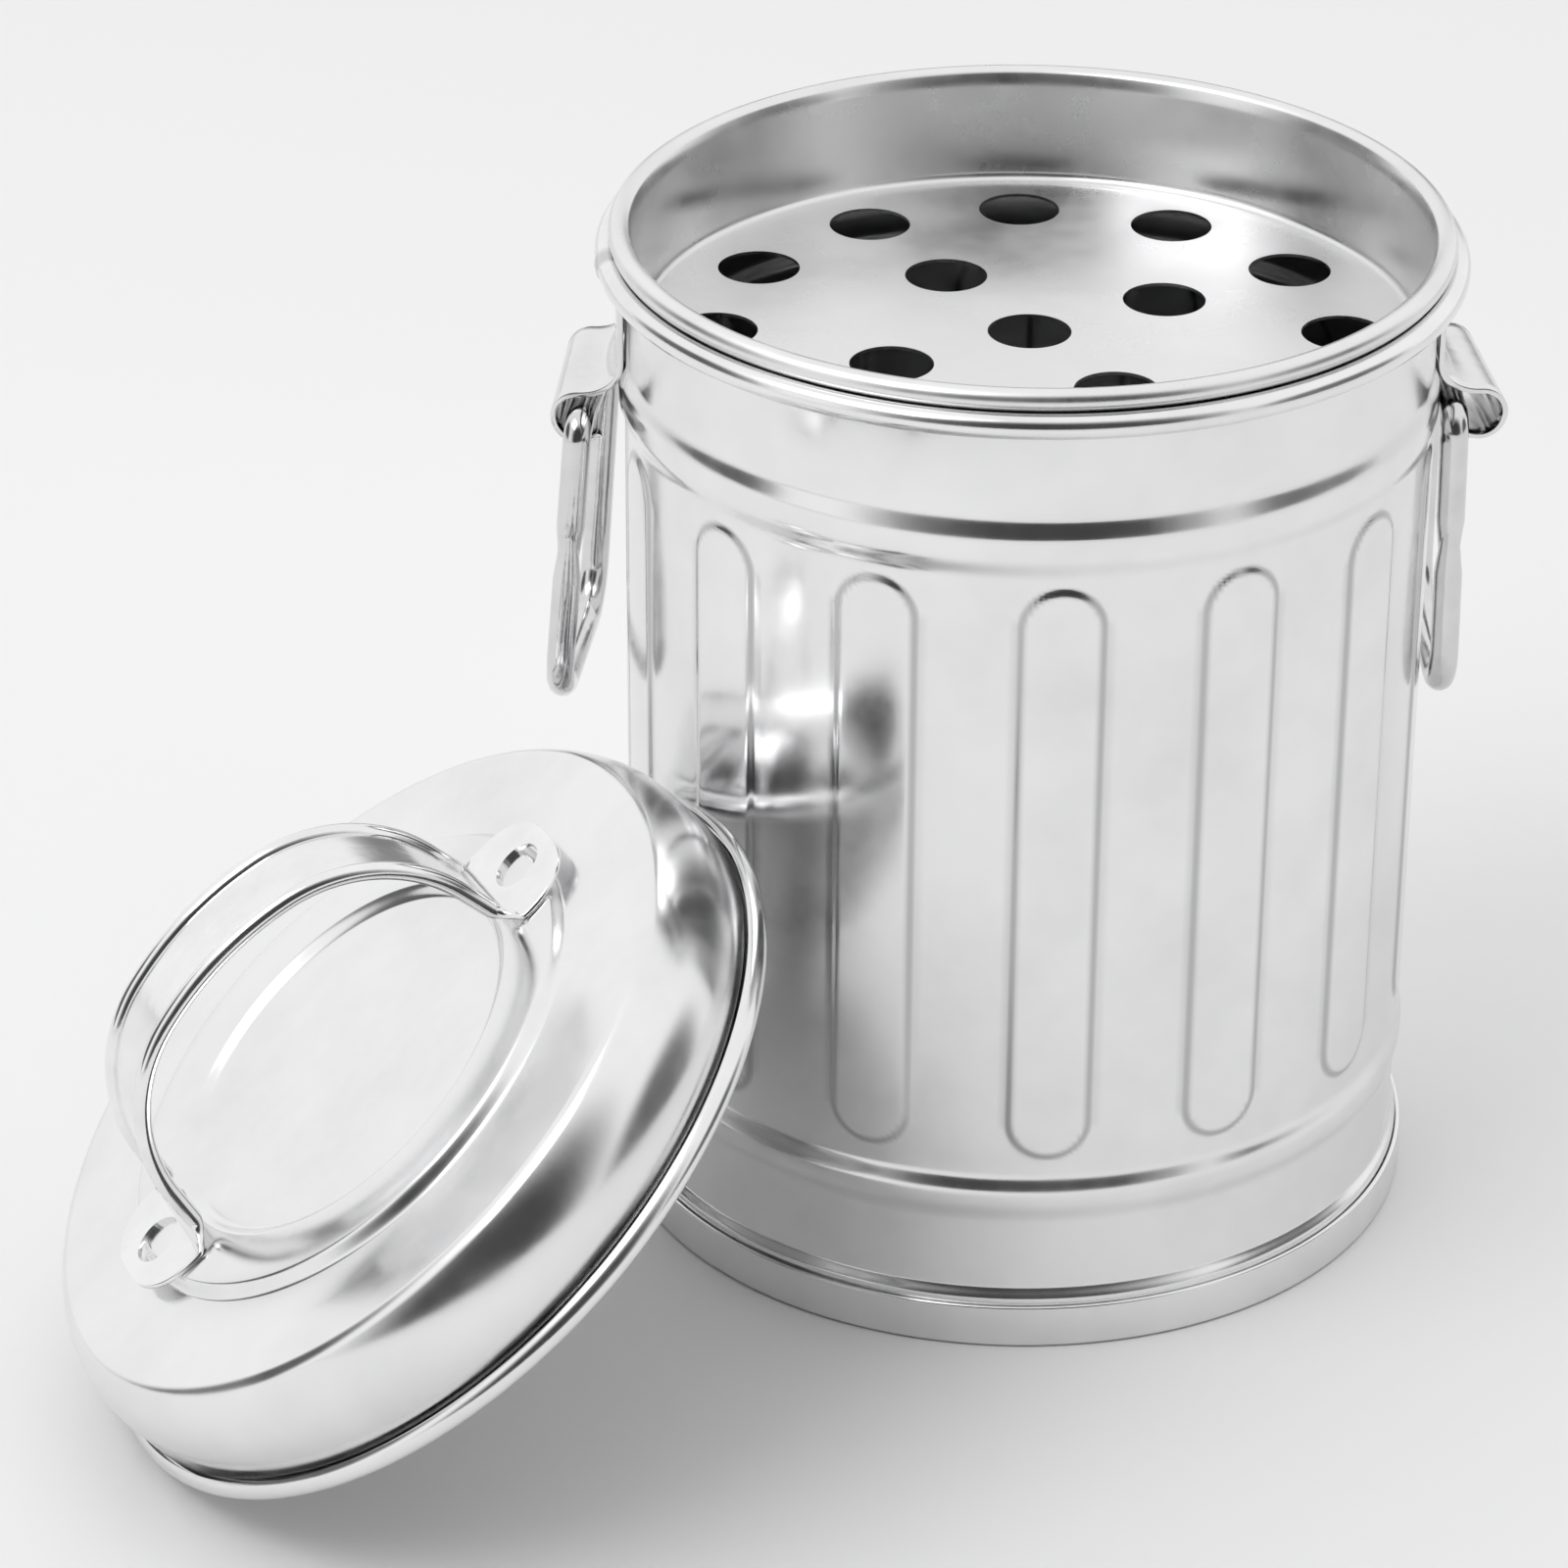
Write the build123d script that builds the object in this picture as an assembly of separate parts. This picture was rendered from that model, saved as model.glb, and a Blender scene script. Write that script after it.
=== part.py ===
from build123d import *
import os
from math import atan, cos, degrees, hypot, radians, sin, sqrt, tan

# Desktop trash can in tinplate: a straight can with rolled ridges and embossed flutes, a seamed
# bottom, two ears with ring handles, a perforated tray in the mouth, and a lid that stands beside
# the can and leans on it. Millimetres; the origin is the centre of the can's foot, +Z is up, and
# the ears point roughly along +X and -X.

# Sheet and running gaps
SHEET = 0.4
SEAM_GAP = 0.05
REST_GAP = 0.1
LEAN_GAP = 0.3

# Can wall
CAN_RADIUS = 48.15
CAN_RIM_Z = 122.3
CAN_BEAD_RADIUS = 1.5
CAN_BEAD_REACH = CAN_RADIUS + 1.95
BEAD_FLARE = 30
BEAD_CURL = 235
RIDGE_PROUD = 0.75
RIDGE_SLOPE = 3.0
LOWER_RIDGE = (16.8, 23.7)
UPPER_RIDGE = (CAN_RIM_Z - 20.1, CAN_RIM_Z - 12.2)

# Flutes pressed outwards in the wall, between the ridges
FLUTE_COUNT = 14
FLUTE_TURN = 15.8
FLUTE_WIDTH = 10.75
FLUTE_BEVEL = 1.1
FLUTE_PROUD = 0.35
FLUTE_BOTTOM = 25.5
FLUTE_TOP = CAN_RIM_Z - 20.8

# Bottom, seamed round the wall's collar
COLLAR_PROUD = 0.75
COLLAR_TOP = 7.7
COLLAR_SLOPE = 1.5
SEAM_HEIGHT = 5.6
SEAM_HEM = 0.65
SEAM_FLOOR = 0.8
SEAM_ROUND = 0.3
FOOT_ROUND = 0.5
PANEL_HEIGHT = 4.6
PANEL_BEND = 1.2

# Tray with its drain holes
TRAY_SIDE_GAP = 0.35
TRAY_RADIUS = CAN_RADIUS - SHEET - TRAY_SIDE_GAP
TRAY_BEAD_RADIUS = 1.35
TRAY_BEAD_REACH = TRAY_RADIUS + 1.25
TRAY_DEPTH = 13.3
TRAY_BEND = 1.2
TRAY_BEAD_CURL = 230
DRAIN_RADIUS = 5.0
INNER_COUNT = 4
INNER_REACH = TRAY_RADIUS - 28.3
INNER_TURN = 30
OUTER_COUNT = 12
OUTER_REACH = TRAY_RADIUS - 10.1
OUTER_TURN = 0

# Ears: a strap bent from a flange on the wall into a hook
EAR_SHEET = 0.7
EAR_STANDOFF = 0.4
EAR_WIDTH = 19.5
EAR_TOP = CAN_RIM_Z - 3.9
EAR_LEVEL = CAN_RIM_Z - 16.25
EAR_BEND = 3.6
HOOK_RADIUS = 3.3
HOOK_REACH = CAN_RADIUS + 4.95
HOOK_CURL = 226
LEFT_EAR = 176.0
RIGHT_EAR = 6.5

# Ring handles of round wire, loose in the ears
WIRE_RADIUS = 1.7
RING_SIDE_GAP = 0.5
RING_HEIGHT = 36.0
RING_SPREAD = 2.0
RING_TOP_BEND = 2.2
RING_LOW_BEND = 6.0
LEFT_RING_REACH = HOOK_REACH - 0.9
LEFT_RING_Z = EAR_LEVEL - HOOK_RADIUS
LEFT_RING_TURN = 173.0
LEFT_RING_SWING = 4.2
RIGHT_RING_REACH = HOOK_REACH - 2.5
RIGHT_RING_Z = LEFT_RING_Z + 0.55
RIGHT_RING_TURN = 1.0
RIGHT_RING_SWING = 0.5

# Lid, measured from the plane that its bead stands on
LID_RADIUS = CAN_RADIUS + 0.15
LID_BEAD_RADIUS = 1.5
LID_BEAD_REACH = LID_RADIUS - 0.04
LID_BEAD_FLARE = 40
LID_BEAD_TURN = 335
LID_SIDE = 8.5
SHOULDER_WIDTH = 4.2
SHOULDER_RISE = 7.7
SHOULDER_TURN = 40
PLATEAU_RADIUS = LID_RADIUS - 15.4
PLATEAU_RISE = 1.5
PLATEAU_SLOPE = 1.6
DISH_RADIUS = PLATEAU_RADIUS - 8.0
DISH_DEPTH = 1.0
DISH_SLOPE = 1.9
LID_BEARING = 218.1
LID_LEAN_TURN = 195.2
LID_LEAN_RISE = 49.6

# Strap handle of the lid
STRAP_SHEET = 0.6
STRAP_WIDTH = 14.0
STRAP_TURN = 8.4
TAB_REACH = PLATEAU_RADIUS + 2.1
ARCH_RISE = TAB_REACH * 23.2 / 35
ARCH_TOP_RADIUS = TAB_REACH * 8 / 7
ARCH_TOP_TURN = 14.0
ARCH_SIDE_RADIUS = TAB_REACH * 19.1 / 35
ARCH_LEG_TURN = 81.0
FOOT_BEND = 2.8
TAB_WIDTH = 18.5
TAB_END_ROUND = TAB_REACH * 6.8 / 35
TAB_FLARE = 2.2
TAB_HOLE_RADIUS = 3.1
TAB_HOLE_REACH = TAB_REACH - 5.0
EDGE_RADIUS = 1.05
EDGE_INSET = 1.0

CAN_INSIDE = CAN_RADIUS - SHEET
PANEL_RADIUS = CAN_RADIUS + COLLAR_PROUD - SHEET - SEAM_GAP
SEAM_INSIDE = CAN_RADIUS + COLLAR_PROUD + SEAM_GAP
SEAM_RADIUS = SEAM_INSIDE + SEAM_HEM
LID_TOP = LID_SIDE + SHOULDER_RISE
PLATEAU_TOP = LID_TOP + PLATEAU_RISE


def bend(start, heading, radius, turn):
    """An arc from a point, with its heading and turn in degrees; a positive turn is to the left."""
    tangent = (cos(radians(heading)), sin(radians(heading)))
    return JernArc(start=start, tangent=tangent, radius=radius, arc_size=turn)


def flank(start, heading, along, across):
    """An S of two equal arcs that moves a line sideways, to the left where across is positive."""
    turn = 2 * degrees(atan(abs(across) / along))
    radius = (along**2 + across**2) / (4 * abs(across))
    side = 1 if across > 0 else -1
    first = bend(start, heading, radius, side * turn)
    second = bend(first @ 1, heading + side * turn, radius, -side * turn)
    return [first, second]


def ridge(start, low, high):
    """A ridge that stands out of the wall between two heights, on the wall's inner line."""
    reach = start.X
    lower = flank((reach, low), 90, RIDGE_SLOPE, -RIDGE_PROUD)
    crest = Line(lower[-1] @ 1, (reach + RIDGE_PROUD, high - RIDGE_SLOPE))
    upper = flank(crest @ 1, 90, RIDGE_SLOPE, RIDGE_PROUD)
    return [Line(start, (reach, low)), *lower, crest, *upper]


def bead_start(wall, reach, height, radius, flare):
    """Where a wall leans off to meet its bead, and the point where it touches the bead."""
    touch = (reach - radius * cos(radians(flare)), height + radius * sin(radians(flare)))
    foot = (wall, touch[1] - (touch[0] - wall) / tan(radians(flare)))
    return foot, touch


def sheet_ring(skin, side):
    """Sheet metal turned about the axis: one skin of its section, thickened to one side."""
    section = make_face(offset(Wire(skin), SHEET, side=side))
    return revolve(Plane.XZ * section, Axis.Z)


def rounded(face, corners, radius):
    """Round the corners of a flat face that lie at the given points."""
    spots = [Vector(*corner) for corner in corners]
    picked = [v for v in face.vertices() if min((Vector(v) - spot).length for spot in spots) < SEAM_GAP]
    return fillet(picked, radius)


def stadium(width, low, high, reach):
    """An upright slot shape that faces along X, at a distance from the axis."""
    middle = (low + high) / 2
    slot = SlotOverall(high - low, width, rotation=90)
    return Plane(origin=(reach, 0, middle), x_dir=(0, 1, 0), z_dir=(1, 0, 0)) * slot


def flute_solid(skin_radius, width, low, high):
    """A raised field with bevelled margins, reaching from inside the wall to the skin radius."""
    crest_half = width / 2 - FLUTE_BEVEL
    base_reach = sqrt((skin_radius - FLUTE_PROUD) ** 2 - (width / 2) ** 2)
    crest_reach = sqrt(skin_radius**2 - crest_half**2)
    slope = FLUTE_BEVEL / (crest_reach - base_reach)
    out = skin_radius + FLUTE_PROUD
    inset = slope * (out - base_reach)
    base = stadium(width, low, high, base_reach)
    crest = stadium(width - 2 * inset, low + inset, high - inset, out)
    return loft([base, crest], ruled=True) & Cylinder(skin_radius, 4 * FLUTE_TOP)


def turned(shape, turn):
    """The shape turned about the can's axis."""
    return shape.rotate(Axis.Z, turn)


def can_body():
    """The wall: collar, two ridges, flutes and the bead curled outwards round the mouth."""
    foot, touch = bead_start(CAN_INSIDE, CAN_BEAD_REACH, CAN_RIM_Z, CAN_BEAD_RADIUS, BEAD_FLARE)
    collar_reach = CAN_INSIDE + COLLAR_PROUD
    collar = Line((collar_reach, SEAM_FLOOR), (collar_reach, COLLAR_TOP - COLLAR_SLOPE))
    neck = flank(collar @ 1, 90, COLLAR_SLOPE, COLLAR_PROUD)
    lower = ridge(neck[-1] @ 1, *LOWER_RIDGE)
    upper = ridge(lower[-1] @ 1, *UPPER_RIDGE)
    rise = Line(upper[-1] @ 1, foot)
    lean = Line(rise @ 1, touch)
    curl = bend(touch, 90 - BEAD_FLARE, CAN_BEAD_RADIUS, -BEAD_CURL)
    wall = sheet_ring([collar, *neck, *lower, *upper, rise, lean, curl], Side.RIGHT)
    outer = flute_solid(CAN_RADIUS + FLUTE_PROUD, FLUTE_WIDTH, FLUTE_BOTTOM, FLUTE_TOP)
    inner = flute_solid(CAN_INSIDE + FLUTE_PROUD, FLUTE_WIDTH, FLUTE_BOTTOM, FLUTE_TOP)
    turns = [FLUTE_TURN + 360 / FLUTE_COUNT * n for n in range(FLUTE_COUNT)]
    wall += [turned(outer, turn) for turn in turns]
    wall -= [turned(inner, turn) for turn in turns]
    return wall


def can_bottom():
    """The bottom panel, set up inside the foot, with its edge folded round the wall's collar."""
    under = PANEL_HEIGHT - SHEET
    inside = PANEL_RADIUS - SHEET
    outline = [
        (0, under), (inside, under), (inside, 0), (SEAM_RADIUS, 0), (SEAM_RADIUS, SEAM_HEIGHT),
        (SEAM_INSIDE, SEAM_HEIGHT), (SEAM_INSIDE, SEAM_FLOOR), (PANEL_RADIUS, SEAM_FLOOR),
        (PANEL_RADIUS, PANEL_HEIGHT), (0, PANEL_HEIGHT),
    ]
    section = make_face(Polyline(*outline, close=True))
    section = rounded(section, [(inside, under)], PANEL_BEND - SHEET)
    section = rounded(section, [(PANEL_RADIUS, PANEL_HEIGHT)], PANEL_BEND)
    section = rounded(section, [(inside, 0), (SEAM_RADIUS, 0)], FOOT_ROUND)
    section = rounded(section, [(SEAM_RADIUS, SEAM_HEIGHT), (SEAM_INSIDE, SEAM_HEIGHT)], SEAM_ROUND)
    return revolve(Plane.XZ * section, Axis.Z)


def tray_rim_z():
    """The height of the tray's bead, where it rests on the can's bead."""
    apart = CAN_BEAD_RADIUS + TRAY_BEAD_RADIUS + REST_GAP
    return CAN_RIM_Z + sqrt(apart**2 - (CAN_BEAD_REACH - TRAY_BEAD_REACH) ** 2)


def drains():
    """The round drain holes: one in the middle and two rings."""
    spots = [(0, 0)]
    inner = (INNER_COUNT, INNER_REACH, INNER_TURN)
    outer = (OUTER_COUNT, OUTER_REACH, OUTER_TURN)
    for count, reach, first in (inner, outer):
        turns = [radians(first + 360 / count * n) for n in range(count)]
        spots += [(reach * cos(turn), reach * sin(turn)) for turn in turns]
    return [Pos(x, y, CAN_RIM_Z - TRAY_DEPTH) * Cylinder(DRAIN_RADIUS, TRAY_DEPTH) for x, y in spots]


def perforated_tray():
    """A shallow cup that hangs in the mouth by its bead, with drain holes in its floor."""
    rim_z = tray_rim_z()
    inside = TRAY_RADIUS - SHEET
    foot, touch = bead_start(inside, TRAY_BEAD_REACH, rim_z, TRAY_BEAD_RADIUS, BEAD_FLARE)
    floor = Line((0, rim_z - TRAY_DEPTH), (inside - TRAY_BEND, rim_z - TRAY_DEPTH))
    corner = bend(floor @ 1, 0, TRAY_BEND, 90)
    side = Line(corner @ 1, foot)
    lean = Line(foot, touch)
    curl = bend(touch, 90 - BEAD_FLARE, TRAY_BEAD_RADIUS, -TRAY_BEAD_CURL)
    return sheet_ring([floor, corner, side, lean, curl], Side.RIGHT) - drains()


def ear():
    """A strap ear on the +X side: a flange that follows the wall, a bend and a hook."""
    flange_reach = CAN_RADIUS + EAR_STANDOFF + EAR_SHEET
    level_start = flange_reach + EAR_BEND
    half = EAR_WIDTH / 2
    flange = Line((flange_reach, EAR_TOP), (flange_reach, EAR_LEVEL + EAR_BEND))
    turn_out = bend(flange @ 1, -90, EAR_BEND, 90)
    level = Line(turn_out @ 1, (hypot(level_start, half) + EAR_BEND, EAR_LEVEL))
    skin = Wire([flange, turn_out, level])
    bracket = revolve(Plane.XZ * make_face(offset(skin, EAR_SHEET, side=Side.RIGHT)), Axis.Z)
    window = Pos(level_start / 2, 0, EAR_TOP) * Box(level_start, EAR_WIDTH, 2 * EAR_TOP)
    bracket = bracket & window
    ledge = Line((level_start, EAR_LEVEL), (HOOK_REACH, EAR_LEVEL))
    curl = bend(ledge @ 1, 0, HOOK_RADIUS, -HOOK_CURL)
    hook = Plane.XZ * make_face(offset(Wire([ledge, curl]), EAR_SHEET, side=Side.RIGHT))
    bracket += extrude(hook, half, both=True)
    return bracket


def ring_frame(reach, height, ear_turn, ring_turn, swing):
    """The plane of a ring handle: X along its top bar, Y down the ring, Z outwards."""
    centre = Vector(reach, 0, height).rotate(Axis.Z, ear_turn)
    bar = Vector(0, 1, 0).rotate(Axis.Z, ring_turn)
    down = Vector(sin(radians(swing)), 0, -cos(radians(swing))).rotate(Axis.Z, ring_turn)
    return Plane(origin=centre, x_dir=bar, z_dir=bar.cross(down))


def ring_handle(frame):
    """Round wire bent into a closed ring, wider at the bottom than at the ear."""
    top = EAR_WIDTH / 2 + RING_SIDE_GAP + WIRE_RADIUS
    low = top + RING_SPREAD
    corners = [(-top, 0), (top, 0), (low, RING_HEIGHT), (-low, RING_HEIGHT)]
    outline = make_face(Polyline(*corners, close=True))
    outline = rounded(outline, corners[:2], RING_TOP_BEND)
    outline = rounded(outline, corners[2:], RING_LOW_BEND)
    path = outline.face().outer_wire()
    wire = Plane(origin=path @ 0, z_dir=path % 0) * Circle(WIRE_RADIUS)
    return frame * sweep(wire, path=path)


def lid_frame():
    """Where the lid stands: its bead on the table, leaning on the can just clear of the flutes."""
    rise = radians(LID_LEAN_RISE)
    normal = Vector(cos(rise), 0, sin(rise)).rotate(Axis.Z, LID_LEAN_TURN)
    uphill = Vector(-sin(rise), 0, cos(rise)).rotate(Axis.Z, LID_LEAN_TURN)
    across = normal.cross(uphill)
    height = LID_BEAD_RADIUS + LID_BEAD_REACH * cos(rise) - LID_BEAD_RADIUS * sin(rise)
    away = Vector(1, 0, 0).rotate(Axis.Z, LID_BEARING)
    clear = CAN_RADIUS + FLUTE_PROUD + LEAN_GAP + LID_BEAD_RADIUS
    reaches = []
    for turn in [radians(n / 2) for n in range(720)]:
        spot = (uphill * cos(turn) + across * sin(turn)) * LID_BEAD_REACH + normal * LID_BEAD_RADIUS
        along = spot.X * away.X + spot.Y * away.Y
        beside = spot.X * away.Y - spot.Y * away.X
        reaches.append(sqrt(clear**2 - beside**2) - along)
    centre = away * max(reaches) + Vector(0, 0, height)
    return Plane(origin=centre, x_dir=uphill, z_dir=normal)


def shoulder_radii():
    """The radii of two arcs that make the shoulder: a long one at the side and a short one on top."""
    lean = radians(SHOULDER_TURN)
    long_share = (1 - cos(lean), sin(lean))
    short_share = (cos(lean), 1 - sin(lean))
    scale = long_share[0] * short_share[1] - short_share[0] * long_share[1]
    long = (SHOULDER_WIDTH * short_share[1] - short_share[0] * SHOULDER_RISE) / scale
    short = (long_share[0] * SHOULDER_RISE - SHOULDER_WIDTH * long_share[1]) / scale
    return long, short


def lid_shell():
    """A pressed lid: dished centre, plateau, round shoulder, side wall and a bead round the edge."""
    long, short = shoulder_radii()
    inside = LID_RADIUS - SHEET
    under = LID_TOP - SHEET
    dish_under = under + PLATEAU_RISE - DISH_DEPTH
    dish = Line((0, dish_under), (DISH_RADIUS - DISH_SLOPE, dish_under))
    dish_edge = flank(dish @ 1, 0, DISH_SLOPE, DISH_DEPTH)
    plateau = Line(dish_edge[-1] @ 1, (PLATEAU_RADIUS - PLATEAU_SLOPE, under + PLATEAU_RISE))
    step = flank(plateau @ 1, 0, PLATEAU_SLOPE, -PLATEAU_RISE)
    top = Line(step[-1] @ 1, (LID_RADIUS - SHOULDER_WIDTH, under))
    crown = bend(top @ 1, 0, short - SHEET, SHOULDER_TURN - 90)
    brow = bend(crown @ 1, SHOULDER_TURN - 90, long - SHEET, -SHOULDER_TURN)
    lean = radians(LID_BEAD_FLARE)
    touch = (LID_BEAD_REACH - LID_BEAD_RADIUS * cos(lean), LID_BEAD_RADIUS + LID_BEAD_RADIUS * sin(lean))
    foot = (inside, touch[1] + (inside - touch[0]) / tan(lean))
    side = Line(brow @ 1, foot)
    tuck = Line(foot, touch)
    curl = bend(touch, -90 - LID_BEAD_FLARE, LID_BEAD_RADIUS, LID_BEAD_TURN - LID_BEAD_FLARE)
    skin = [dish, *dish_edge, plateau, *step, top, crown, brow, side, tuck, curl]
    return sheet_ring(skin, Side.LEFT)


def arch_half():
    """Half of the strap's middle line, from the top of the arch down to the end of its tab."""
    tab_z = PLATEAU_TOP + STRAP_SHEET / 2
    crown = bend((0, tab_z + ARCH_RISE), 0, ARCH_TOP_RADIUS, -ARCH_TOP_TURN)
    side = bend(crown @ 1, -ARCH_TOP_TURN, ARCH_SIDE_RADIUS, ARCH_TOP_TURN - ARCH_LEG_TURN)
    lean = radians(ARCH_LEG_TURN)
    foot_drop = FOOT_BEND * (1 - cos(lean))
    leg_drop = (side @ 1).Y - tab_z - foot_drop
    leg_end = (side @ 1) + Vector(leg_drop / tan(lean), -leg_drop)
    leg = Line(side @ 1, leg_end)
    foot = bend(leg @ 1, -ARCH_LEG_TURN, FOOT_BEND, ARCH_LEG_TURN)
    tab = Line(foot @ 1, (TAB_REACH, tab_z))
    return crown, side, leg, foot, tab


def strap_outline(neck):
    """The strap seen from above: a band that flares into round-ended tabs."""
    half, tab_half = STRAP_WIDTH / 2, TAB_WIDTH / 2
    spread = neck + TAB_FLARE
    corners = [(neck, half), (spread, tab_half), (TAB_REACH, tab_half)]
    loop = [(-x, y) for x, y in reversed(corners)] + corners
    loop += [(x, -y) for x, y in reversed(loop)]
    face = make_face(Polyline(*loop, close=True))
    ends = [(x, y) for x in (-TAB_REACH, TAB_REACH) for y in (-tab_half, tab_half)]
    shoulders = [(x, y) for x in (-spread, spread) for y in (-tab_half, tab_half)]
    face = rounded(face, ends, TAB_END_ROUND)
    return rounded(face, shoulders, TAB_FLARE / 2)


def lid_strap_handle():
    """A strap arched over the lid, with rolled edges and a pierced tab at each foot."""
    halves = arch_half()
    mirrored = [edge.mirror(Plane.YZ) for edge in halves]
    centre = Wire([*mirrored, *halves])
    ribbon = Plane.XZ * make_face(offset(centre, STRAP_SHEET / 2, side=Side.BOTH))
    strap = extrude(ribbon, TAB_WIDTH, both=True)
    leg_end = (halves[2] @ 1).X
    outline = strap_outline(leg_end)
    strap = strap & extrude(outline, 4 * ARCH_RISE)
    arch = halves[:3]
    line = Plane.XZ * Wire([*[edge.mirror(Plane.YZ) for edge in arch], *arch])
    for side in (-1, 1):
        edge_y = side * (STRAP_WIDTH / 2 - EDGE_INSET)
        path = line.moved(Location((0, edge_y, 0)))
        bead = Plane(origin=path @ 0, z_dir=path % 0) * Circle(EDGE_RADIUS)
        strap += sweep(bead, path=path)
    hole = Cylinder(TAB_HOLE_RADIUS, 4 * STRAP_SHEET)
    return strap - [Pos(x, 0, PLATEAU_TOP) * hole for x in (-TAB_HOLE_REACH, TAB_HOLE_REACH)]


lid_place = lid_frame()
parts = {
    "can_body": can_body(),
    "can_bottom": can_bottom(),
    "perforated_tray": perforated_tray(),
    "left_ear": turned(ear(), LEFT_EAR),
    "right_ear": turned(ear(), RIGHT_EAR),
    "left_ring_handle": ring_handle(
        ring_frame(LEFT_RING_REACH, LEFT_RING_Z, LEFT_EAR, LEFT_RING_TURN, LEFT_RING_SWING)
    ),
    "right_ring_handle": ring_handle(
        ring_frame(RIGHT_RING_REACH, RIGHT_RING_Z, RIGHT_EAR, RIGHT_RING_TURN, RIGHT_RING_SWING)
    ),
    "lid_shell": lid_place * lid_shell(),
    "lid_strap_handle": lid_place * (Rot(0, 0, STRAP_TURN) * lid_strap_handle()),
}

os.makedirs("parts", exist_ok=True)
for name, solid in parts.items():
    export_step(solid, f"parts/{name}.step")
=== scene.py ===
from math import asin, atan2, cos, degrees, hypot, pi, radians, sin, sqrt, tan

import bpy
from mathutils import Matrix, Vector


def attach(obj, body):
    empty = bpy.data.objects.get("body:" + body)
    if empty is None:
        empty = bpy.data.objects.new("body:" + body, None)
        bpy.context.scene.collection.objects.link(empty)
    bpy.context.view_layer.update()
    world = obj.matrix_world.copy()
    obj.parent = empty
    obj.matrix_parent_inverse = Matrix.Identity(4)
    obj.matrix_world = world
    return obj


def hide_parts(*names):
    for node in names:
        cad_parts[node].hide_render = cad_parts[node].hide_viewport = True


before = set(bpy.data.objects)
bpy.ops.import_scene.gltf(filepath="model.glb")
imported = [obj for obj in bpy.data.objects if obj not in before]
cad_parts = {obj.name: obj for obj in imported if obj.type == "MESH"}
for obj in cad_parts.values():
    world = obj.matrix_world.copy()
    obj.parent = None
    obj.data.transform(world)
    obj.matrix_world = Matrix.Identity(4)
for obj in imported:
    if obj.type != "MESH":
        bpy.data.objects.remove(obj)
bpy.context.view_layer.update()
bpy.ops.object.select_all(action="DESELECT")

# Can wall: one sheet of bright tinplate rolled into a tube and joined down the left side. Two
# ridges and fourteen upright flutes are rolled in, and the mouth is curled outwards into a bead.
# The sheet is 0.4 mm thick; its foot stands in the bottom's seam. Sizes here are in millimetres.
WALL, SHEET = 48.15, 0.4
RIDGE_PROUD, RIDGE_EASE = 0.75, 3.0
FLUTES, FLUTE_TURN, FLUTE_WIDE, FLUTE_BEVEL, FLUTE_PROUD = 14, 15.8, 10.75, 1.25, 0.35
FLUTE_LOW, FLUTE_HIGH = 25.5, 101.5


def arc(centre, radius, start, end, steps):
    """Points along an arc in the section plane, angles in degrees."""
    turns = [radians(start + (end - start) * n / steps) for n in range(steps + 1)]
    return [(centre[0] + radius * cos(t), centre[1] + radius * sin(t)) for t in turns]


def swell(reach, low, high, proud, steps):
    """Points that rise from low to high while they ease sideways by proud."""
    shares = [n / steps for n in range(steps + 1)]
    return [(reach + proud * (3 * s * s - 2 * s**3), low + (high - low) * s) for s in shares]


def ridge(reach, low, high, steps):
    """Points up the wall over one rolled ridge."""
    rise = swell(reach, low, low + RIDGE_EASE, RIDGE_PROUD, steps)
    return rise + swell(reach + RIDGE_PROUD, high - RIDGE_EASE, high, -RIDGE_PROUD, steps)


def drawn_line(name, points):
    """A mesh line through points of the section plane, left selected in edit mode."""
    bpy.ops.mesh.primitive_plane_add(size=0.001)
    piece = bpy.context.object
    piece.name = piece.data.name = name
    bpy.ops.object.mode_set(mode="EDIT")
    bpy.ops.mesh.select_all(action="SELECT")
    bpy.ops.mesh.merge(type="CENTER")
    bpy.ops.transform.translate(value=(points[0][0] / 1000, 0, points[0][1] / 1000))
    for (x0, z0), (x1, z1) in zip(points, points[1:]):
        step = ((x1 - x0) / 1000, 0, (z1 - z0) / 1000)
        bpy.ops.mesh.extrude_vertices_move(TRANSFORM_OT_translate={"value": step})
    bpy.ops.mesh.select_all(action="SELECT")
    return piece


def turned_sheet(name, section, steps):
    """A closed or axis-to-axis section spun round the Z axis into a smooth skin."""
    piece = drawn_line(name, section)
    bpy.ops.mesh.spin(steps=steps, angle=2 * pi, center=(0, 0, 0), axis=(0, 0, 1))
    bpy.ops.mesh.select_all(action="SELECT")
    bpy.ops.mesh.remove_doubles(threshold=0.000002)
    bpy.ops.mesh.normals_make_consistent(inside=False)
    bpy.ops.object.mode_set(mode="OBJECT")
    bpy.ops.object.shade_smooth_by_angle(angle=radians(40))
    return piece


def wall_skin(reach, fine):
    """One face of the wall, from the foot up to where it leans out to the bead."""
    flutes = [FLUTE_LOW - 0.4, *[FLUTE_LOW + 6.6 * n / fine for n in range(fine + 1)]]
    flutes += [FLUTE_LOW + FLUTE_HIGH - z for z in reversed(flutes)]
    collar = reach + RIDGE_PROUD
    skin = [(collar, 0.8), *swell(collar, 6.2, 7.7, -RIDGE_PROUD, fine // 2)]
    skin += ridge(reach, 16.8, 23.7, fine // 2)
    skin += [(reach, z) for z in flutes]
    return skin + ridge(reach, 102.2, 110.1, fine // 2)


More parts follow.
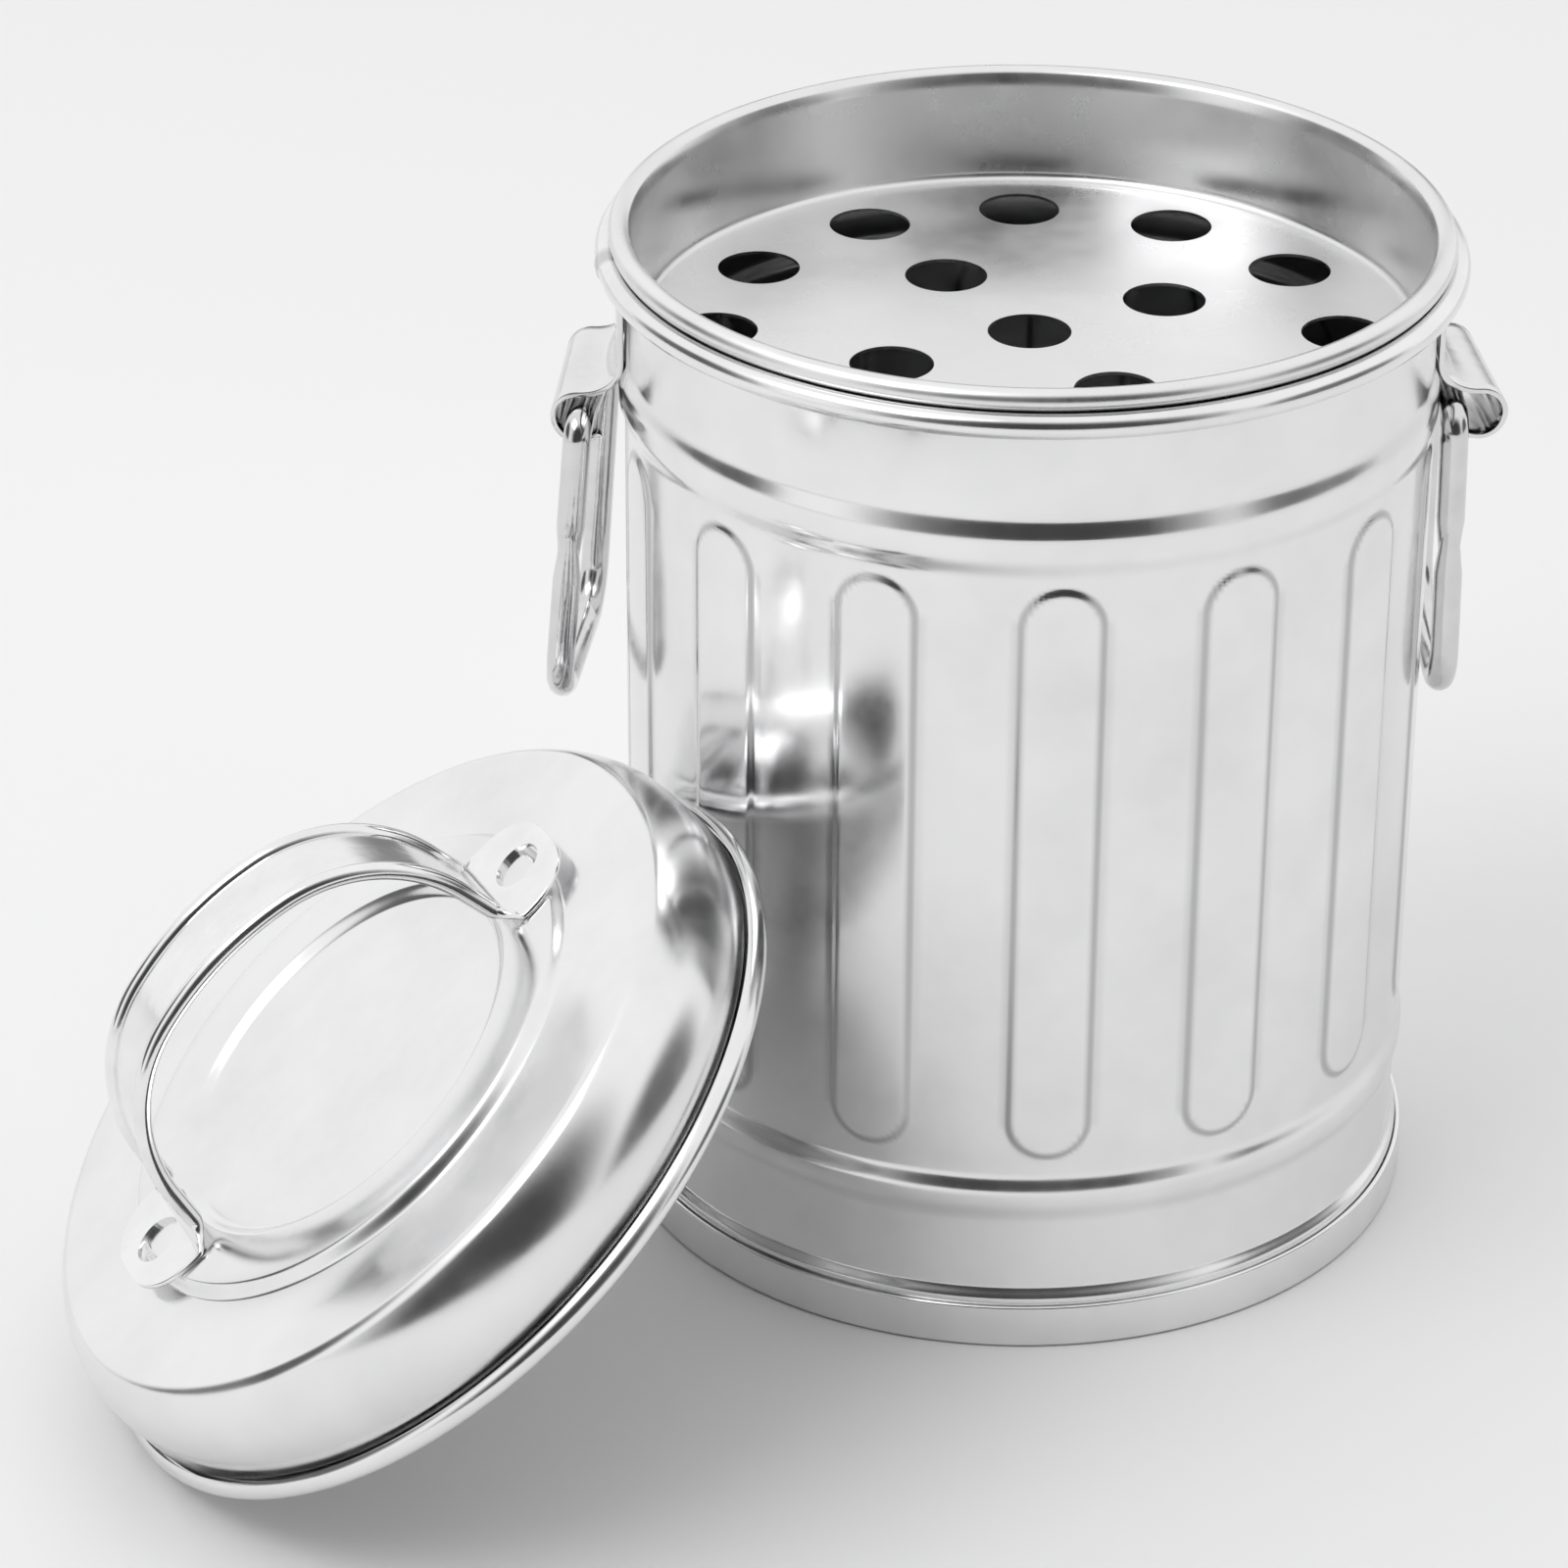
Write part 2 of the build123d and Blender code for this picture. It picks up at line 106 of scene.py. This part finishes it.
mouth = (50.1, 122.3)
outside = [*wall_skin(WALL, 18), (WALL, 121.1), *arc(mouth, 1.1, 150, -85, 12)]
inside = [*wall_skin(WALL - SHEET, 8), (WALL - SHEET, 121.23), *arc(mouth, 1.5, 150, -85, 20)]
PITCH_STEPS = 30
wall = turned_sheet("can_wall", [*outside, *reversed(inside), outside[0]], FLUTES * PITCH_STEPS)

flute_half = degrees(FLUTE_WIDE / 2 / WALL)
bevel_turn = degrees(FLUTE_BEVEL / WALL)
pitch = 360 / FLUTES
columns = [(0, 0), (7, flute_half - bevel_turn), (12, flute_half), (15, pitch / 2)]
# Per-point mask: painted shade down the middle of each flute's bevel, and dark seam lines at the
# two edges of the lap. The tinplate material darkens the colour by it.
bevel_shade_and_seam = wall.data.attributes.new("bevel_shade_and_seam_line", "FLOAT", "POINT")
for vertex in wall.data.vertices:
    reach, height = hypot(vertex.co.x, vertex.co.y), vertex.co.z * 1000
    turn = degrees(atan2(vertex.co.y, vertex.co.x)) - FLUTE_TURN
    flute = round(turn / pitch)
    beside = turn - flute * pitch
    count = abs(beside) / pitch * PITCH_STEPS
    for (n0, t0), (n1, t1) in zip(columns, columns[1:]):
        if n0 - 1e-6 <= count <= n1 + 1e-6:
            moved = t0 + (t1 - t0) * (count - n0) / (n1 - n0)
    beside = moved if beside > 0 else -moved
    middle = (FLUTE_LOW + FLUTE_HIGH) / 2
    past = max(0, abs(height - middle) - (FLUTE_HIGH - FLUTE_LOW - FLUTE_WIDE) / 2)
    depth = (FLUTE_WIDE / 2 - hypot(radians(beside) * WALL, past)) / FLUTE_BEVEL
    share = min(1, max(0, depth))
    reach += FLUTE_PROUD / 1000 * share * share * (3 - 2 * share)
    # Painted shade: darkest halfway across each flute's bevel, where the slope reflects less of the
    # room.
    bevel_shade_and_seam.data[vertex.index].value = 4 * share * (1 - share)
    around = radians(beside + flute * pitch + FLUTE_TURN)
    # The lap seam: the outer sheet stands 0.18 mm proud, with a dark line along each of its two
    # edges.
    lap = (degrees(around) + 360) % 360 - 186
    if 0 < lap < 3 and height > 8 and depth < 0:
        reach += 0.00018
        bevel_shade_and_seam.data[vertex.index].value = 0.7 if lap < 1.1 or lap > 1.9 else 0
    vertex.co = (reach * cos(around), reach * sin(around), vertex.co.z)


def tinplate(name, tone, smooth, rough, patch=60, hair=0.25, centre=None, frame_turn=None):
    """Tin on steel: cloudy gloss, rolling hairlines, faint stains, painted shade on the flute
    bevels and dark seam lines.
    """
    material = bpy.data.materials.new(name)
    material.use_nodes = True
    nodes, links = material.node_tree.nodes, material.node_tree.links
    shader = nodes["Principled BSDF"]
    shader.inputs["Metallic"].default_value = 1
    place = nodes.new("ShaderNodeTexCoord")
    turn = nodes.new("ShaderNodeMapping")
    turn.vector_type = "TEXTURE"
    if centre is not None:
        turn.inputs["Location"].default_value = centre
        turn.inputs["Rotation"].default_value = frame_turn
    links.new(place.outputs["Object"], turn.inputs["Vector"])
    clouds = nodes.new("ShaderNodeTexNoise")
    clouds.inputs["Scale"].default_value = patch
    clouds.inputs["Detail"].default_value = 6
    clouds.inputs["Roughness"].default_value = 0.6
    links.new(turn.outputs["Vector"], clouds.inputs["Vector"])
    gloss = nodes.new("ShaderNodeMapRange")
    gloss.inputs["From Min"].default_value = 0.35
    gloss.inputs["From Max"].default_value = 0.68
    gloss.inputs["To Min"].default_value = smooth
    gloss.inputs["To Max"].default_value = rough
    links.new(clouds.outputs["Fac"], gloss.inputs["Value"])
    links.new(gloss.outputs["Result"], shader.inputs["Roughness"])
    stain = nodes.new("ShaderNodeValToRGB")
    stain.color_ramp.elements[0].position = 0.3
    stain.color_ramp.elements[0].color = (*[c * 0.9 for c in tone], 1)
    stain.color_ramp.elements[1].position = 0.62
    stain.color_ramp.elements[1].color = (*tone, 1)
    links.new(clouds.outputs["Fac"], stain.inputs["Fac"])
    # Painted shade on the flute bevels, and the dark seam lines: the mask mixes the colour towards
    # a darker tone.
    bevel_shade_and_seam_mask = nodes.new("ShaderNodeAttribute")
    bevel_shade_and_seam_mask.attribute_name = "bevel_shade_and_seam_line"
    faint = nodes.new("ShaderNodeMath")
    faint.operation = "MULTIPLY"
    faint.inputs[1].default_value = 0.75
    links.new(bevel_shade_and_seam_mask.outputs["Fac"], faint.inputs[0])
    bevel_shade_and_seam_mix = nodes.new("ShaderNodeMix")
    bevel_shade_and_seam_mix.data_type = "RGBA"
    bevel_shade_and_seam_mix.inputs["B"].default_value = (*[c * 0.45 for c in tone], 1)
    links.new(faint.outputs["Value"], bevel_shade_and_seam_mix.inputs["Factor"])
    links.new(stain.outputs["Color"], bevel_shade_and_seam_mix.inputs["A"])
    links.new(bevel_shade_and_seam_mix.outputs["Result"], shader.inputs["Base Color"])
    stretch = nodes.new("ShaderNodeMapping")
    stretch.inputs["Scale"].default_value = (1, 1, 0.03)
    links.new(turn.outputs["Vector"], stretch.inputs["Vector"])
    hairs = nodes.new("ShaderNodeTexNoise")
    hairs.inputs["Scale"].default_value = 2200
    hairs.inputs["Detail"].default_value = 3
    links.new(stretch.outputs["Vector"], hairs.inputs["Vector"])
    dents = nodes.new("ShaderNodeTexNoise")
    dents.inputs["Scale"].default_value = patch * 1.6
    dents.inputs["Detail"].default_value = 2
    links.new(turn.outputs["Vector"], dents.inputs["Vector"])
    wave = nodes.new("ShaderNodeBump")
    wave.inputs["Strength"].default_value = 0.5
    wave.inputs["Distance"].default_value = 0.00012
    links.new(dents.outputs["Fac"], wave.inputs["Height"])
    scratch = nodes.new("ShaderNodeBump")
    scratch.inputs["Strength"].default_value = hair
    scratch.inputs["Distance"].default_value = 0.00001
    links.new(hairs.outputs["Fac"], scratch.inputs["Height"])
    links.new(wave.outputs["Normal"], scratch.inputs["Normal"])
    links.new(scratch.outputs["Normal"], shader.inputs["Normal"])
    return material


wall.data.materials.append(tinplate("wall_tinplate", (0.86, 0.86, 0.865), 0.12, 0.24))
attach(wall, "can")
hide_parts("can_body")

# Can bottom: a pressed disc of tinplate set up inside the foot. Its edge is folded round the
# wall's collar, which makes the thick seam that the can stands on.
foot = [(0, 4.2), (47.25, 4.2), *arc((47.25, 3.4), 0.8, 90, 0, 5)]
foot += [(48.05, 0.5), *arc((48.55, 0.5), 0.5, 180, 270, 5), *arc((49.1, 0.5), 0.5, -90, 0, 5)]
foot += [(49.6, 2.8), *arc((49.3, 5.3), 0.3, 0, 180, 8), (48.95, 0.8)]
foot += [(48.45, 0.8), *arc((47.25, 3.4), 1.2, 0, 90, 5), (30, 4.6), (0, 4.6)]
bottom = turned_sheet("can_bottom_seam", foot, 180)
bottom.data.materials.append(tinplate("bottom_tinplate", (0.84, 0.84, 0.845), 0.14, 0.26))
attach(bottom, "can")
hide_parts("can_bottom")

# Tray: a shallow pressed cup that hangs in the mouth by its curled rim. Seventeen round holes
# are punched through the floor. The metal is duller here than on the wall.
rim = (48.65, 124.87)
bend = (45.8, 112.77)
upper = [(0, 111.57), (30, 111.57), *arc(bend, 1.2, -90, 0, 6)]
upper += [(47, 123.9), *arc(rim, 1.35, 150, -80, 20)]
under = [(0, 111.17), (30, 111.17), *arc(bend, 1.6, -90, 0, 6)]
under += [(47.4, 123.8), *arc(rim, 0.95, 150, -80, 10)]
tray = turned_sheet("perforated_tray_cup", [*upper, *reversed(under)], 240)
spots = [(0, 0)]
for count, reach, first in ((4, 19.1, 30), (12, 37.3, 0)):
    turns = [radians(first + 360 / count * n) for n in range(count)]
    spots += [(reach * cos(turn), reach * sin(turn)) for turn in turns]
punches = []
for x, y in spots:
    middle = (x / 1000, y / 1000, 0.1114)
    bpy.ops.mesh.primitive_cylinder_add(vertices=48, radius=0.005, depth=0.004, location=middle)
    punches.append(bpy.context.object)
for punch in punches:
    punch.select_set(True)
bpy.context.view_layer.objects.active = punches[0]
bpy.ops.object.join()
punch = bpy.context.object


def pierced(piece, tool):
    """Cuts the tool's shape out of a piece and clears the slivers that the cut leaves."""
    bpy.ops.object.select_all(action="DESELECT")
    bpy.context.view_layer.objects.active = piece
    piece.select_set(True)
    cut = piece.modifiers.new("holes", "BOOLEAN")
    cut.object = tool
    cut.operation = "DIFFERENCE"
    cut.solver = "EXACT"
    bpy.ops.object.modifier_apply(modifier=cut.name)
    bpy.data.objects.remove(tool)
    bpy.ops.object.mode_set(mode="EDIT")
    bpy.ops.mesh.select_all(action="SELECT")
    bpy.ops.mesh.remove_doubles(threshold=0.000002)
    bpy.ops.mesh.dissolve_degenerate(threshold=0.000002)
    bpy.ops.mesh.quads_convert_to_tris(quad_method="BEAUTY", ngon_method="BEAUTY")
    bpy.ops.mesh.dissolve_degenerate(threshold=0.000002)
    bpy.ops.object.mode_set(mode="OBJECT")
    bpy.ops.object.shade_smooth_by_angle(angle=radians(40))


pierced(tray, punch)
tray.data.materials.append(tinplate("tray_tinplate", (0.84, 0.84, 0.845), 0.2, 0.42, patch=45))
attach(tray, "tray")
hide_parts("perforated_tray")

# Ears: strips of thicker tinplate, one at each side. The flange is welded flat to the wall over
# the upper ridge; the strip bends out and curls down into a hook that holds the ring's bar.
EAR_WIDE, EAR_SHEET, EAR_TOP, EAR_LEVEL, EAR_BEND = 19.5, 0.7, 118.4, 106.05, 3.6
HOOK, HOOK_END = 3.3, -136
flange = WALL + 0.4 + EAR_SHEET
bend, hook = (flange + EAR_BEND, EAR_LEVEL + EAR_BEND), (53.1, EAR_LEVEL - HOOK)
face = [(flange, EAR_TOP), (flange, 114), *arc(bend, EAR_BEND, 180, 270, 12)]
face += arc(hook, HOOK, 90, HOOK_END, 30)
lining = [(flange - EAR_SHEET, EAR_TOP), (flange - EAR_SHEET, 114)]
lining += arc(bend, EAR_BEND + EAR_SHEET, 180, 270, 12)
lining += arc(hook, HOOK - EAR_SHEET, 90, HOOK_END, 30)
ear_metal = tinplate("ear_tinplate", (0.79, 0.79, 0.79), 0.1, 0.2, patch=120, hair=0.4)
for side, turn in (("left", 176.0), ("right", 6.5)):
    ear = drawn_line(side + "_ear_strap", [*face, *reversed(lining), face[0]])
    bpy.ops.mesh.remove_doubles(threshold=0.000002)
    bpy.ops.transform.translate(value=(0, -EAR_WIDE / 2000, 0))
    bpy.ops.mesh.edge_face_add()
    for _ in range(12):
        bpy.ops.mesh.extrude_region_move(TRANSFORM_OT_translate={"value": (0, EAR_WIDE / 12000, 0)})
    bpy.ops.mesh.select_all(action="SELECT")
    bpy.ops.mesh.normals_make_consistent(inside=False)
    bpy.ops.object.mode_set(mode="OBJECT")
    for vertex in ear.data.vertices:
        held = min(1, max(0, (flange + EAR_BEND - vertex.co.x * 1000) / EAR_BEND))
        lean = WALL - sqrt(WALL**2 - (vertex.co.y * 1000) ** 2)
        vertex.co.x -= held * lean / 1000
    edge = ear.modifiers.new("edges", "BEVEL")
    edge.width = 0.00015
    edge.segments = 2
    edge.limit_method = "ANGLE"
    edge.angle_limit = radians(50)
    bpy.ops.object.modifier_apply(modifier=edge.name)
    ear.rotation_euler.z = radians(turn)
    bpy.ops.object.transform_apply(location=False, rotation=True, scale=False)
    bpy.ops.object.shade_smooth_by_angle(angle=radians(35))
    ear.data.materials.append(ear_metal)
    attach(ear, "can")
    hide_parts(side + "_ear")

# Ring handles: round plated wire, 3.4 mm thick, bent into a ring that widens downwards. The two
# ends of the wire meet on the leg nearest the front, cut on a slant and welded one on the other.
WIRE = 1.7
ring_metal = tinplate("ring_wire", (0.72, 0.72, 0.725), 0.1, 0.2, patch=250, hair=0.15)


def rounded_loop(corners, radii, step):
    """Points round a closed outline with rounded corners, about a step apart."""
    points = []
    for n, corner in enumerate(corners):
        here = Vector(corner)
        back = (Vector(corners[n - 1]) - here).normalized()
        on = (Vector(corners[(n + 1) % len(corners)]) - here).normalized()
        half = back.angle(on) / 2
        centre = here + (back + on).normalized() * radii[n] / sin(half)
        start, end = here + back * radii[n] / tan(half), here + on * radii[n] / tan(half)
        for k in range(13):
            spoke = start.lerp(end, k / 12) - centre
            points.append(centre + spoke.normalized() * radii[n])
    filled = []
    for a, b in zip(points, points[1:] + points[:1]):
        count = max(1, round((b - a).length / step))
        filled += [a.lerp(b, k / count) for k in range(count)]
    return filled


half_top = EAR_WIDE / 2 + 0.5 + WIRE
half_low = half_top + 2
ring_corners = [(-half_top, 0), (half_top, 0), (half_low, 36), (-half_low, 36)]
ring_line = rounded_loop(ring_corners, [2.2, 2.2, 6, 6], 1.0)
for side, reach, height, ear_turn, bar_turn, swing in (
    ("left", 52.2, 102.75, 176.0, 173.0, 4.2),
    ("right", 50.6, 103.3, 6.5, 1.0, 0.5),
):
    hang = Vector((reach * cos(radians(ear_turn)), reach * sin(radians(ear_turn)), height))
    bar = Vector((-sin(radians(bar_turn)), cos(radians(bar_turn)), 0))
    away = Vector((cos(radians(bar_turn)), sin(radians(bar_turn)), 0))
    down = away * sin(radians(swing)) - Vector((0, 0, cos(radians(swing))))
    curve = bpy.data.curves.new(side + "_ring_wire", "CURVE")
    curve.dimensions = "3D"
    curve.bevel_depth = WIRE / 1000
    curve.bevel_resolution = 6
    front = bar if side == "left" else -bar
    meeting = Vector((half_top + 0.7, 13))
    joint = min(range(len(ring_line)), key=lambda n: (ring_line[n] - meeting).length)
    loop = ring_line[joint:] + ring_line[: joint + 9]
    spline = curve.splines.new("POLY")
    spline.points.add(len(loop) - 1)
    for n, (point, place) in enumerate(zip(spline.points, loop)):
        first, last = min(1, n / 7), min(1, (len(loop) - 1 - n) / 8)
        spot = hang + front * (place.x + 0.62 * (last - first)) + down * place.y
        point.co = (*(spot / 1000), 1)
        point.radius = min(0.52 + 0.48 * first, 0.5 + 0.5 * last)
    ring = bpy.data.objects.new(side + "_ring_wire", curve)
    bpy.context.collection.objects.link(ring)
    bpy.ops.object.select_all(action="DESELECT")
    bpy.context.view_layer.objects.active = ring
    ring.select_set(True)
    curve.use_fill_caps = True
    bpy.ops.object.convert(target="MESH")
    bpy.ops.object.shade_smooth_by_angle(angle=radians(50))
    ring.data.materials.append(ring_metal)
    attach(ring, side + "_ring")
    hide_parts(side + "_ring_handle")

# Lid: one pressing of tinplate, stood on its edge beside the can. A flat dish is sunk in a raised
# round field, the shoulder is broad and soft, and the edge is curled into a bead.
LID_TOP, SHOULDER = 16.2, 40
lean, lean_turn = radians(49.6), radians(195.2)
uphill = Vector((-sin(lean) * cos(lean_turn), -sin(lean) * sin(lean_turn), cos(lean)))
upright = Vector((cos(lean) * cos(lean_turn), cos(lean) * sin(lean_turn), sin(lean)))
beside = upright.cross(uphill)
lid_centre = Vector((-0.0690115, -0.0541119, 0.031636))
lid_place = Matrix((uphill, beside, upright)).transposed().to_4x4()
lid_place.translation = lid_centre


def lid_skin(drop, radius, fine):
    """One face of the lid from its middle to its side wall, drop below the outer face."""
    top = LID_TOP - drop
    skin = [(0, top + 0.5), (12, top + 0.5), (23, top + 0.5)]
    shares = [n / fine for n in range(fine + 1)]
    skin += [(23 + 1.9 * s, top + 0.5 + (3 * s**2 - 2 * s**3)) for s in shares]
    skin += [(31.3 + 1.6 * s, top + 1.5 * (1 - 3 * s**2 + 2 * s**3)) for s in shares]
    skin += [(38, top)]
    crown = arc((44.1, top - radius[0]), radius[0], 90, SHOULDER, fine * 2)
    x, z = crown[-1]
    brow_centre = (x - radius[1] * cos(radians(SHOULDER)), z - radius[1] * sin(radians(SHOULDER)))
    return [*skin, *crown, *arc(brow_centre, radius[1], SHOULDER, 0, fine * 2)[1:]]


near_share = (1 - cos(radians(SHOULDER)), sin(radians(SHOULDER)))
far_share = (cos(radians(SHOULDER)), 1 - sin(radians(SHOULDER)))
scale = near_share[0] * far_share[1] - far_share[0] * near_share[1]
brow = (4.2 * far_share[1] - far_share[0] * 7.7) / scale
crown = (near_share[0] * 7.7 - 4.2 * near_share[1]) / scale
bead = (48.26, 1.5)
outer = [*lid_skin(0, (crown, brow), 10), (48.3, 3.26), *arc(bead, 1.1, 140, 435, 16)]
inner = [*lid_skin(SHEET, (crown - SHEET, brow - SHEET), 5), (47.9, 3.4)]
inner += arc(bead, 1.5, 140, 435, 24)
lid = turned_sheet("lid_pressing", [*outer, *reversed(inner)], 240)
lid.matrix_world = lid_place
bpy.ops.object.transform_apply(location=True, rotation=True, scale=False)
lid_turn = lid_place.to_euler()
placed = {"centre": lid_centre, "frame_turn": lid_turn}
lid_metal = tinplate("lid_tinplate", (0.86, 0.86, 0.865), 0.12, 0.26, patch=50, **placed)
lid.data.materials.append(lid_metal)
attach(lid, "lid")
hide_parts("lid_shell")

# Lid handle: a strip of tinplate with both edges rolled into beads, arched over the dish. Each
# foot flattens into a round-ended tab with one hole, spot-welded to the raised field.
STRAP_SHEET, STRAP_HALF, TAB_HALF, TAB_REACH, TAB_ROUND = 0.6, 7.0, 9.25, 35.0, 6.8
LEG_TURN, FOOT_BEND, TAB_FLARE = 81, 2.8, 2.2
tab_height = 17.7 + STRAP_SHEET / 2
line, heading = [(0, tab_height + 23.2, 0)], 0
for radius, turn, steps in ((40, 14, 8), (19.1, 67, 34)):
    x, z, _ = line[-1]
    for n in range(1, steps + 1):
        now = heading + turn * n / steps
        dx = radius * (sin(radians(now)) - sin(radians(heading)))
        dz = radius * (cos(radians(now)) - cos(radians(heading)))
        line.append((x + dx, z + dz, now))
    heading += turn
x, z, _ = line[-1]
steep = radians(LEG_TURN)
foot_rise = FOOT_BEND * (1 - cos(steep))
neck, z = x + (z - tab_height - foot_rise) / tan(steep), tab_height + foot_rise
line.append((neck, z, LEG_TURN))
for n in range(1, 15):
    now = radians(LEG_TURN - LEG_TURN * n / 14)
    dx = FOOT_BEND * (sin(steep) - sin(now))
    line.append((neck + dx, tab_height + FOOT_BEND * (1 - cos(now)), degrees(now)))
ends = [27.8, TAB_REACH - TAB_ROUND]
ends += [TAB_REACH - TAB_ROUND + TAB_ROUND * sin(radians(90 * n / 12)) for n in range(1, 13)]
line += [(x, tab_height, 0) for x in ends]
rows = [(-x, z, -now) for x, z, now in reversed(line[1:])] + line


def strip_section(half, roll):
    """Half of the strip's section, from its middle over the rolled edge to its middle below."""
    radius = STRAP_SHEET / 2 + 0.75 * roll
    inset = degrees(asin(STRAP_SHEET / 2 / radius))
    edge = arc((half - radius, 0), radius, 180 - inset, inset - 180, 18)
    share = [0, 0.35, 0.7]
    top = [(edge[0][0] * s, STRAP_SHEET / 2) for s in share]
    low = [(edge[-1][0] * s, -STRAP_SHEET / 2) for s in reversed(share)]
    return top + edge + low[:-1]


loops = []
for x, z, now in rows:
    beyond = max(0, abs(x) - neck)
    flare = min(1, beyond / TAB_FLARE)
    half = STRAP_HALF + (TAB_HALF - STRAP_HALF) * flare * flare * (3 - 2 * flare)
    inward = max(0, abs(x) - (TAB_REACH - TAB_ROUND))
    half -= TAB_ROUND - sqrt(max(0, TAB_ROUND**2 - inward**2))
    roll = min(1, max(0, (z - tab_height + 0.15) / 2.6))
    side = strip_section(half, roll * roll * (3 - 2 * roll))
    outline = side + [(0, -STRAP_SHEET / 2)] + [(-y, h) for y, h in reversed(side[1:])]
    over, up = sin(radians(now)), cos(radians(now))
    loops.append([(x + h * over, y, z + h * up) for y, h in outline])
bpy.ops.object.select_all(action="DESELECT")
count = len(loops[0])
verts = [(x / 1000, y / 1000, z / 1000) for loop in loops for x, y, z in loop]
faces = []
for row in range(0, (len(loops) - 1) * count, count):
    for k in range(count):
        on = (k + 1) % count
        faces.append((row + k, row + on, row + count + on, row + count + k))
faces += [tuple(range(count)), tuple(range((len(loops) - 1) * count, len(loops) * count))]
strap_mesh = bpy.data.meshes.new("lid_strap")
strap_mesh.from_pydata(verts, [], faces)
strap = bpy.data.objects.new("lid_strap", strap_mesh)
bpy.context.collection.objects.link(strap)
bpy.context.view_layer.objects.active = strap
strap.select_set(True)
bpy.ops.object.mode_set(mode="EDIT")
bpy.ops.mesh.select_all(action="SELECT")
bpy.ops.mesh.normals_make_consistent(inside=False)
bpy.ops.object.mode_set(mode="OBJECT")
for x in (-0.030, 0.030):
    middle = (x, 0, tab_height / 1000)
    bpy.ops.mesh.primitive_cylinder_add(vertices=40, radius=0.0031, depth=0.004, location=middle)
    pierced(strap, bpy.context.object)
strap.matrix_world = lid_place @ Matrix.Rotation(radians(8.4), 4, "Z")
bpy.ops.object.transform_apply(location=True, rotation=True, scale=False)
strap_metal = tinplate("strap_tinplate", (0.88, 0.88, 0.885), 0.08, 0.18, patch=120, **placed)
strap.data.materials.append(strap_metal)
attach(strap, "lid")
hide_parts("lid_strap_handle")

# Studio: a pale table that runs back without an edge, and a white room. The room is darker low
# down behind the camera and in three narrower places, which gives the bright metal its grey bands.
bpy.ops.mesh.primitive_plane_add(size=6, location=(0, 0, -0.0001))
table = bpy.context.object
table.name = "table"
paper = bpy.data.materials.new("table_paper")
paper.use_nodes = True
nodes, links = paper.node_tree.nodes, paper.node_tree.links
shader = nodes["Principled BSDF"]
shader.inputs["Base Color"].default_value = (0.93, 0.93, 0.93, 1)
shader.inputs["Roughness"].default_value = 0.9
shader.inputs["Specular IOR Level"].default_value = 0.1
table.data.materials.append(paper)

world = bpy.data.worlds.new("studio")
bpy.context.scene.world = world
world.use_nodes = True
nodes, links = world.node_tree.nodes, world.node_tree.links
back = nodes["Background"]
look = nodes.new("ShaderNodeTexCoord")
light = None
for aim, wide, tight, dimmest in (
    ((0.05, -0.97, 0.22), 0.55, 0.92, 0.06),
    ((-0.95, 0.1, 0.12), 0.88, 0.97, 0.12),
    ((0.95, -0.15, 0.1), 0.88, 0.97, 0.15),
    ((0.1, 0.99, -0.02), 0.93, 0.985, 0.25),
):
    toward = nodes.new("ShaderNodeVectorMath")
    toward.operation = "DOT_PRODUCT"
    toward.inputs[1].default_value = Vector(aim).normalized()
    links.new(look.outputs["Generated"], toward.inputs[0])
    dim = nodes.new("ShaderNodeMapRange")
    dim.interpolation_type = "SMOOTHSTEP"
    dim.inputs["From Min"].default_value = wide
    dim.inputs["From Max"].default_value = tight
    dim.inputs["To Min"].default_value = 1
    dim.inputs["To Max"].default_value = dimmest
    links.new(toward.outputs["Value"], dim.inputs["Value"])
    if light is None:
        light = dim.outputs["Result"]
        continue
    both = nodes.new("ShaderNodeMath")
    both.operation = "MULTIPLY"
    links.new(light, both.inputs[0])
    links.new(dim.outputs["Result"], both.inputs[1])
    light = both.outputs["Value"]
ray = nodes.new("ShaderNodeLightPath")
seen = nodes.new("ShaderNodeMix")
seen.data_type = "RGBA"
seen.inputs["B"].default_value = (1, 1, 1, 1)
links.new(ray.outputs["Is Camera Ray"], seen.inputs["Factor"])
links.new(light, seen.inputs["A"])
links.new(seen.outputs["Result"], back.inputs["Color"])
back.inputs["Strength"].default_value = 1.0

lamp = bpy.data.lights.new("softbox", "AREA")
lamp.shape = "RECTANGLE"
lamp.size, lamp.size_y = 0.7, 0.5
lamp.energy = 2.2
box = bpy.data.objects.new("softbox", lamp)
bpy.context.collection.objects.link(box)
box.location = (-0.5, -0.35, 0.9)
box.rotation_euler = (Vector((0, 0, 0.06)) - box.location).to_track_quat("-Z", "Y").to_euler()

camera = bpy.data.cameras.new("camera")
camera.sensor_width = 36
camera.lens = 133.4
camera.clip_start, camera.clip_end = 0.01, 20
viewer = bpy.data.objects.new("camera", camera)
bpy.context.collection.objects.link(viewer)
pitch_down, roll = radians(28.41), radians(0.28)
ahead = Vector((0, cos(pitch_down), -sin(pitch_down)))
right = Vector((1, 0, 0))
above = right.cross(ahead)
tilted_right = right * cos(roll) + above * sin(roll)
tilted_up = above * cos(roll) - right * sin(roll)
stand = Matrix((tilted_right, tilted_up, -ahead)).transposed().to_4x4()
stand.translation = (-0.02894, -0.6334, 0.3928)
viewer.matrix_world = stand
bpy.context.scene.camera = viewer
bpy.context.scene.view_settings.view_transform = "Standard"
